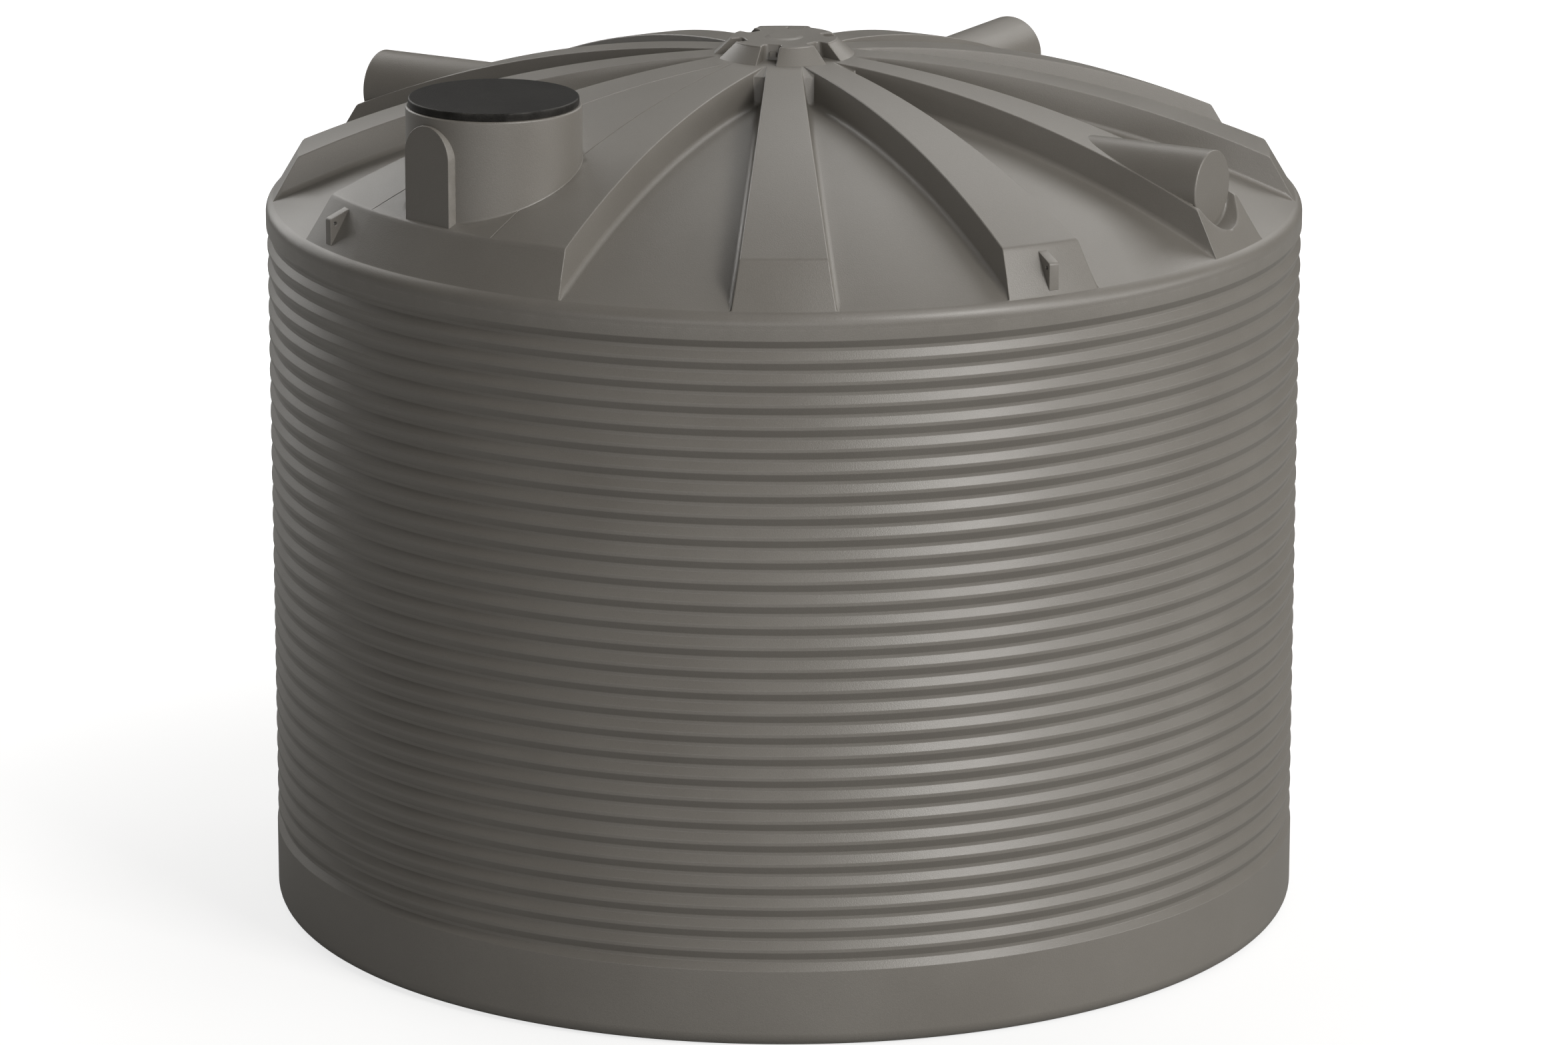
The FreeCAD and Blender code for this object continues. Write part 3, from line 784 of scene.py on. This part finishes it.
def hub_outline(radius, half_slot, slot_end, corner):
    """Outline of the hub at one height: arcs between slots with rounded inner ends and mouths."""
    arc_points = 13
    end_round = half_slot * 0.85
    mouth = degrees(asin(half_slot / radius))
    arc = np.radians(np.linspace(mouth, HUB_BAY - mouth, arc_points))
    edge = [(radius * cos(a), radius * sin(a)) for a in arc]
    start = [(slot_end, 0.0), (slot_end, half_slot)]
    end = [turn_matrix(HUB_BAY) @ p for p in ((slot_end, -half_slot), (slot_end, 0.0))]
    rounds = [0, end_round, corner] + [0] * (arc_points - 2) + [corner, end_round, 0]
    section = rounded(start + edge + end, rounds, steps=5)[:-1]
    return np.vstack([section @ turn_matrix(HUB_BEARING + i * HUB_BAY - 90).T
                      for i in range(HUB_SLOTS)])


def make_hub_cap(material):
    """Slotted cap with rounded edges and a flare at its foot."""
    foot_z = float(rib_z(HUB_BASE))
    foot_slot = (33.5, 140.0, 3.0)  # half width, inner end and rounded mouth of a slot
    top_half_slot, top_slot_end, top_mouth = 31.0, 134.0, 4.0
    top_radius = HUB_TOP + 2.0
    top_round = 5.0
    top_ring = 10.0  # ring of points in from the top's edge
    levels = [(HUB_BASE + flare, *foot_slot, foot_z + lift)
              for flare, lift in ((14.0, -14.0), (3.0, -2.0), (-2.0, 3.0))]
    for inset, drop in quarter_round(top_round, 5) + [(top_ring, 0.0)]:
        levels.append((top_radius - inset, top_half_slot + inset, top_slot_end - inset,
                       top_mouth, HUB_TOP_Z - drop))
    rings = []
    for radius, half_slot, slot_end, corner, z in levels:
        outline = hub_outline(radius, half_slot, slot_end, corner)
        rings.append(np.column_stack([outline, np.full(len(outline), z)]))
    points, faces = stacked(rings)
    piece = add_piece("crown_hub", points, faces, material, ["roof_hub"], sharp=40)
    even_normals(piece)


def make_hub_button(material):
    """Low button with a soft edge on the hub's top."""
    flat_radius, foot_radius, rise, sink = 46.0, 74.0, 4.0, 1.0
    root_z = HUB_TOP_Z - 3.0
    slope = np.linspace(0, 1, 11)
    swell = np.column_stack([
        flat_radius + (foot_radius - flat_radius) * slope,
        HUB_TOP_Z - sink + (rise + sink) / 2 * (1 + np.cos(pi * slope))])
    profile = np.vstack([(0, HUB_TOP_Z + rise), swell, (foot_radius, root_z), (0, root_z)])
    points, faces = spun_solid(profile, 72)
    piece = add_piece("hub_button", points, faces, material)
    even_normals(piece)


def make_hub_nubs(material):
    """A small nub at the inner end of each slot."""
    foot_z = float(rib_z(HUB_BASE))
    nub_r, nub_half = 136.0, 13.0
    nub_in, nub_out, nub_round = -6.0, 12.0, 5.0
    nub = rounded([(nub_in, -nub_half), (nub_out, -nub_half), (nub_out, nub_half),
                   (nub_in, nub_half)], [0, nub_round, nub_round, 0])
    rings = []
    for lift, inset, taper in ((14.0, 0.0, 1.0), (28.0, 0.0, 1.0), (31.0, 3.0, 0.75)):
        rings.append(np.column_stack([nub_r + nub[:, 0] - inset, nub[:, 1] * taper,
                                      np.full(len(nub), foot_z + lift)]))
    block, block_faces = stacked(rings)
    points, faces = [], []
    for i in range(HUB_SLOTS):
        points.append(turned(block, HUB_BEARING + i * HUB_BAY))
        faces += [tuple(k + i * len(block) for k in f) for f in block_faces]
    add_piece("hub_slot_nubs", np.concatenate(points), faces, material, sharp=35)


# Manhole

def about_manhole(points):
    """Points about the manhole's own axis, moved to their place on the roof."""
    shifted = np.array(points, float)
    shifted[..., 0] += MANHOLE_R
    return turned(shifted, MANHOLE_BEARING)


def make_neck(material):
    """Collar with a rounded rim and an inward lip; its foot follows the roof."""
    steps = 128
    rim_foot = NECK_TOP - 60.0
    inner_r = NECK_RADIUS - WALL
    lip_z = NECK_TOP - WALL
    rim = rounded([(NECK_RADIUS, rim_foot), (NECK_RADIUS, NECK_TOP), (NECK_OPENING, NECK_TOP),
                   (NECK_OPENING, lip_z), (inner_r, lip_z), (inner_r, rim_foot)],
                  [0, 6, 3, 2, 0, 0], steps=5)
    # How far the foot stands out from the neck, and its height over the roof
    foot_curve = ((-WALL, -WALL - 6.0), (2.4, -3.0), (1.5, 0.4), (0.6, 1.4), (0.1, 2.8),
                  (0.0, 6.0))
    rings = []
    for angle in np.radians(np.arange(steps) * 360.0 / steps):
        foot = []
        for flare, lift in foot_curve:
            radius = NECK_RADIUS + flare
            out = hypot(MANHOLE_R + radius * cos(angle), radius * sin(angle))
            foot.append((radius, float(rib_z(out)) + lift))
        middle = [(NECK_RADIUS, 0.5 * (foot[-1][1] + rim_foot))]
        section = np.vstack([foot, middle, rim])
        rings.append(np.column_stack([section[:, 0] * cos(angle), section[:, 0] * sin(angle),
                                      section[:, 1]]))
    points = about_manhole(np.concatenate(rings))
    faces = [f[::-1] for f in grid_faces(steps, len(rings[0]), True, True)]
    piece = add_piece("manhole_collar", points, faces, material, ["manhole_neck"], sharp=50)
    even_normals(piece)


def make_pad(material):
    """Flat arched face on the collar, with rounded edges and a back that follows the collar."""
    half = PAD_WIDTH / 2
    spring_z = NECK_TOP - PAD_DROP - half
    sink, edge_round = 6.0, 3.0
    foot_z = float(rib_z(MANHOLE_R + PAD_REACH)) - sink
    middle_z = 0.5 * (foot_z + spring_z)
    face_ring = 10.0  # ring of points in from the face's edge
    arch = [(half * cos(a), spring_z + half * sin(a)) for a in np.linspace(0, pi, 33)]
    outline = np.array([(half, foot_z), (half, middle_z)] + arch
                       + [(-half, middle_z), (-half, foot_z)])
    centre = np.array([0, spring_z])
    rings = []
    for inset, back in [(face_ring, 0.0)] + quarter_round(edge_round, 5)[::-1]:
        shape = outline.copy()
        above = shape[:, 1] > spring_z
        shape[above] = centre + (shape[above] - centre) * (1 - inset / half)
        shape[~above, 0] *= 1 - inset / half
        rings.append(np.column_stack([np.full(len(shape), PAD_REACH - back), shape]))
    behind = np.sqrt((NECK_RADIUS - WALL / 2) ** 2 - outline[:, 0] ** 2)
    rings.append(np.column_stack([behind, outline]))
    points, faces = stacked(rings, flip=True)
    piece = add_piece("arched_pad", about_manhole(points), faces, material, ["fitting_pad"],
                      sharp=50)
    even_normals(piece)


def make_lid(material):
    """Loose lid: barely crowned top with a crisp rim, a skirt and a centring ring."""
    top = NECK_TOP + LID_HEIGHT
    seat = NECK_TOP + 0.2  # just clear of the neck's rim
    skin, rim_width, rim_ring = 8.0, 18.0, 12.0
    bulge, bulge_drop = 0.8, 14.0  # of the rim's side
    plug_clearance, plug_wall, plug_depth = 8.0, 8.0, 26.0
    under = top - skin
    rim_in = LID_RADIUS - rim_width
    plug_out = NECK_OPENING - plug_clearance
    plug_in = plug_out - plug_wall
    plug_end = NECK_TOP - plug_depth
    crown = [(0, top + 2.5), (0.4 * LID_RADIUS, top + 2.1), (0.75 * LID_RADIUS, top + 1.1),
             (LID_RADIUS - rim_ring, top + 0.2)]
    rim = [(LID_RADIUS, top), (LID_RADIUS + bulge, top - bulge_drop), (LID_RADIUS, seat),
           (rim_in, seat)]
    inside = [(rim_in, under), (plug_out, under), (plug_out, plug_end), (plug_in, plug_end),
              (plug_in, under), (0, under)]
    rounds = [0] * len(crown) + [5, 0, 3, 1] + [2] * (len(inside) - 1) + [0]
    profile = rounded(crown + rim + inside, rounds, steps=5)
    points, faces = spun_solid(profile, 144)
    points[:, :2] = points[:, :2] @ np.array([[0, 1], [-1, 0]])
    piece = add_piece("black_lid", about_manhole(points), faces, material, ["manhole_lid"], "lid",
                      sharp=50)
    even_normals(piece)


# Pipe bosses and lifting lugs

def boss_section(x, sink):
    """Outline of a pipe stub at a radius: its round back, and a bottom under the rib's skin."""
    widest = radians(BOSS_WIDEST)
    turn = np.linspace(0, widest, 241)
    skin = rib_z(np.hypot(x, BOSS_RADIUS * np.sin(turn))) - sink
    above = BOSS_Z + BOSS_RADIUS * np.cos(turn) - skin
    end = float(np.interp(0, -above, turn)) if above[-1] < 0 else widest
    arc = np.linspace(-end, end, BOSS_ROUND_POINTS)
    across = np.linspace(1, -1, BOSS_BOTTOM_POINTS)[1:-1] * BOSS_RADIUS * sin(end)
    y = np.concatenate([BOSS_RADIUS * np.sin(arc), across])
    z = np.concatenate([BOSS_Z + BOSS_RADIUS * np.cos(arc), rib_z(np.hypot(x, across)) - sink])
    return np.column_stack([np.full(len(y), x), y, z])


def make_boss(material, number, bearing):
    """Pipe stub that grows out of a rib, closed by a flat round end with a rounded edge."""
    sink = 6.0  # bottom under the rib's skin
    edge_round = 5.0
    end_length = 14.0  # of the stub's end, which is round all about
    face_ring = 13.0  # ring of points in from the face's edge
    tip = sqrt(RIB_DOME ** 2 - (BOSS_Z + BOSS_RADIUS + sink - RIB_CENTRE_Z) ** 2)
    along = tip + (BOSS_FACE_R - end_length - tip) * np.linspace(0.02, 1, 26) ** 1.5
    rings = [boss_section(x, sink) for x in along]
    around = np.radians(np.concatenate([
        np.linspace(-BOSS_WIDEST, BOSS_WIDEST, BOSS_ROUND_POINTS),
        np.linspace(BOSS_WIDEST, 360 - BOSS_WIDEST, BOSS_BOTTOM_POINTS)[1:-1]]))
    for inset, back in quarter_round(edge_round, 6) + [(face_ring, 0.0)]:
        radius = BOSS_RADIUS - inset
        rings.append(np.column_stack([np.full(len(around), BOSS_FACE_R - back),
                                      radius * np.sin(around), BOSS_Z + radius * np.cos(around)]))
    points, faces = stacked(rings, flip=True)
    piece = add_piece(f"pipe_stub_{number}", turned(points, bearing), faces, material,
                      [f"pipe_boss_{number}"], sharp=50)
    even_normals(piece)


def filled_outline(name, lines, thickness, edge):
    """Points and faces of a plate with rounded edges, from closed lines of (x, z) points."""
    curve = bpy.data.curves.new(name, "CURVE")
    curve.dimensions = "2D"
    curve.fill_mode = "BOTH"
    curve.extrude = (thickness / 2 - edge) * METRES
    curve.bevel_depth = edge * METRES
    curve.bevel_resolution = 3
    curve.offset = -edge * METRES
    for line in lines:
        spline = curve.splines.new("POLY")
        spline.points.add(len(line) - 1)
        for point, (x, z) in zip(spline.points, line):
            point.co = (x * METRES, z * METRES, 0, 1)
        spline.use_cyclic_u = True
    holder = bpy.data.objects.new(name, curve)
    bpy.context.scene.collection.objects.link(holder)
    bpy.context.view_layer.update()
    graph = bpy.context.evaluated_depsgraph_get()
    flat = bpy.data.meshes.new_from_object(holder.evaluated_get(graph))
    bpy.data.objects.remove(holder)
    local = np.array([v.co for v in flat.vertices]) / METRES
    faces = [tuple(p.vertices) for p in flat.polygons]
    bpy.data.meshes.remove(flat)
    return np.column_stack([local[:, 0], -local[:, 2], local[:, 1]]), faces


def make_lug(material, number, bearing):
    """Drilled gusset with softened edges on the sloped end of a rib."""
    inner_z = KNUCKLE_Z - LUG_DROP
    outer_r = facet_r(inner_z) + LUG_REACH
    outer_z = inner_z - LUG_FALL
    foot_z = KNUCKLE_Z - (outer_r - KNUCKLE_R) / FACET_SLOPE
    foot_round, edge_round = 4.0, 2.5
    sunk_r = facet_r(inner_z) - LUG_SINK
    start = (outer_r, 0.5 * (foot_z + outer_z))
    outline = rounded([start, (outer_r, outer_z),
                       (sunk_r, outer_z + (outer_r - sunk_r) * LUG_FALL / LUG_REACH),
                       (facet_r(foot_z) - LUG_SINK, foot_z), (outer_r, foot_z), start],
                      [0, LUG_CORNER_RADIUS, 0, 0, foot_round, 0], steps=6)[:-1]
    hole_at = np.array([outer_r - LUG_HOLE_INSET, outer_z - LUG_HOLE_DROP])
    hole = [hole_at + LUG_HOLE_RADIUS * np.array([cos(a), sin(a)])
            for a in np.linspace(0, 2 * pi, 25)[:-1]]
    points, faces = filled_outline(f"lug_outline_{number}", (outline, hole), LUG_THICKNESS,
                                   edge_round)
    add_piece(f"lug_plate_{number}", turned(points, bearing), faces, material,
              [f"lifting_lug_{number}"], sharp=35)


# Stage, light and camera

def make_stage():
    """Pale plain floor that reads as white to the camera and keeps a soft shadow."""
    reach, level = 80.0, -0.0005  # metres; just under the tank
    near, far = 2.0, 6.0  # metres between which the floor turns white
    near_white = 0.76
    mirror_share = 0.05  # how strongly the skin mirrors the white
    mesh = bpy.data.meshes.new("floor_sheet")
    corners = ((-reach, -reach), (reach, -reach), (reach, reach), (-reach, reach))
    mesh.from_pydata([(x, y, level) for x, y in corners], [], [(0, 1, 2, 3)])
    sheet = bpy.data.objects.new("floor_sheet", mesh)
    bpy.context.scene.collection.objects.link(sheet)
    material = bpy.data.materials.new("pale_floor")
    material.use_nodes = True
    tree = material.node_tree
    shader = tree.nodes["Principled BSDF"]
    shader.inputs["Base Color"].default_value = (0.32, 0.32, 0.317, 1)
    shader.inputs["Roughness"].default_value = 0.9
    shader.inputs["Specular IOR Level"].default_value = 0.1
    ray = add_node(tree, "ShaderNodeLightPath").outputs
    seen = computed(tree, "MAXIMUM", ray["Is Camera Ray"], ray["Is Transmission Ray"])
    mirrored = computed(tree, "MULTIPLY", ray["Is Glossy Ray"], mirror_share)
    either = computed(tree, "MAXIMUM", seen, mirrored)
    place = add_node(tree, "ShaderNodeTexCoord").outputs["Object"]
    away = add_node(tree, "ShaderNodeVectorMath", [(0, place)], operation="LENGTH")
    white = stretched(tree, away.outputs["Value"], near, far, near_white, 1.0, "SMOOTHSTEP")
    glow = computed(tree, "MULTIPLY", either, white)
    shader.inputs["Emission Color"].default_value = (1, 1, 1, 1)
    tree.links.new(glow, shader.inputs["Emission Strength"])
    mesh.materials.append(material)


def add_lamp(name, bearing, elevation, distance, width, height, watts):
    """Soft panel aimed at the tank from a bearing and an elevation."""
    lamp = bpy.data.lights.new(name, "AREA")
    lamp.shape = "RECTANGLE"
    lamp.size = width
    lamp.size_y = height
    lamp.energy = watts
    lamp.color = LAMP_COLOUR
    holder = bpy.data.objects.new(name, lamp)
    aim = Vector(LAMP_AIM)
    level = distance * cos(radians(elevation))
    holder.location = aim + Vector((level * sin(radians(bearing)), -level * cos(radians(bearing)),
                                    distance * sin(radians(elevation))))
    holder.rotation_euler = (aim - holder.location).to_track_quat("-Z", "Y").to_euler()
    holder.visible_camera = False
    bpy.context.scene.collection.objects.link(holder)


def make_light():
    """Faint even sky and the lamps."""
    world = bpy.data.worlds.new("studio_sky")
    bpy.context.scene.world = world
    world.use_nodes = True
    background = world.node_tree.nodes["Background"]
    background.inputs["Color"].default_value = SKY_COLOUR
    background.inputs["Strength"].default_value = SKY_STRENGTH
    for name, values in LAMPS.items():
        add_lamp(name, *values)


def make_camera():
    """The photograph's view, from its fitted distance and pitch."""
    camera = bpy.data.cameras.new("photo_view")
    camera.sensor_width = CAMERA_SENSOR
    camera.lens = CAMERA_LENS
    camera.clip_end = CAMERA_CLIP_END
    holder = bpy.data.objects.new("photo_view", camera)
    holder.location = CAMERA_PLACE
    holder.rotation_euler = (radians(90 - CAMERA_PITCH), 0, 0)
    bpy.context.scene.collection.objects.link(holder)
    bpy.context.scene.camera = holder


def dress_cad_nodes(tank, lid):
    """CAD pieces, such as the floor that still shows, take the lid's finish or the tank's."""
    for name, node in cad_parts.items():
        node.data.materials.clear()
        node.data.materials.append(lid if name == "manhole_lid" else tank)


tank_plastic, lid_plastic = make_finishes()
dress_cad_nodes(tank_plastic, lid_plastic)
make_wall(tank_plastic)
make_roof(tank_plastic)
make_hub_cap(tank_plastic)
make_hub_button(tank_plastic)
make_hub_nubs(tank_plastic)
make_neck(tank_plastic)
make_pad(tank_plastic)
make_lid(lid_plastic)
for boss_number, boss_bearing in enumerate(BOSS_BEARINGS, 1):
    make_boss(tank_plastic, boss_number, boss_bearing)
for lug_number, lug_bearing in enumerate(LUG_BEARINGS, 1):
    make_lug(tank_plastic, lug_number, lug_bearing)
make_stage()
make_light()
make_camera()
bpy.context.scene.view_settings.view_transform = "Standard"

bpy.context.view_layer.update()
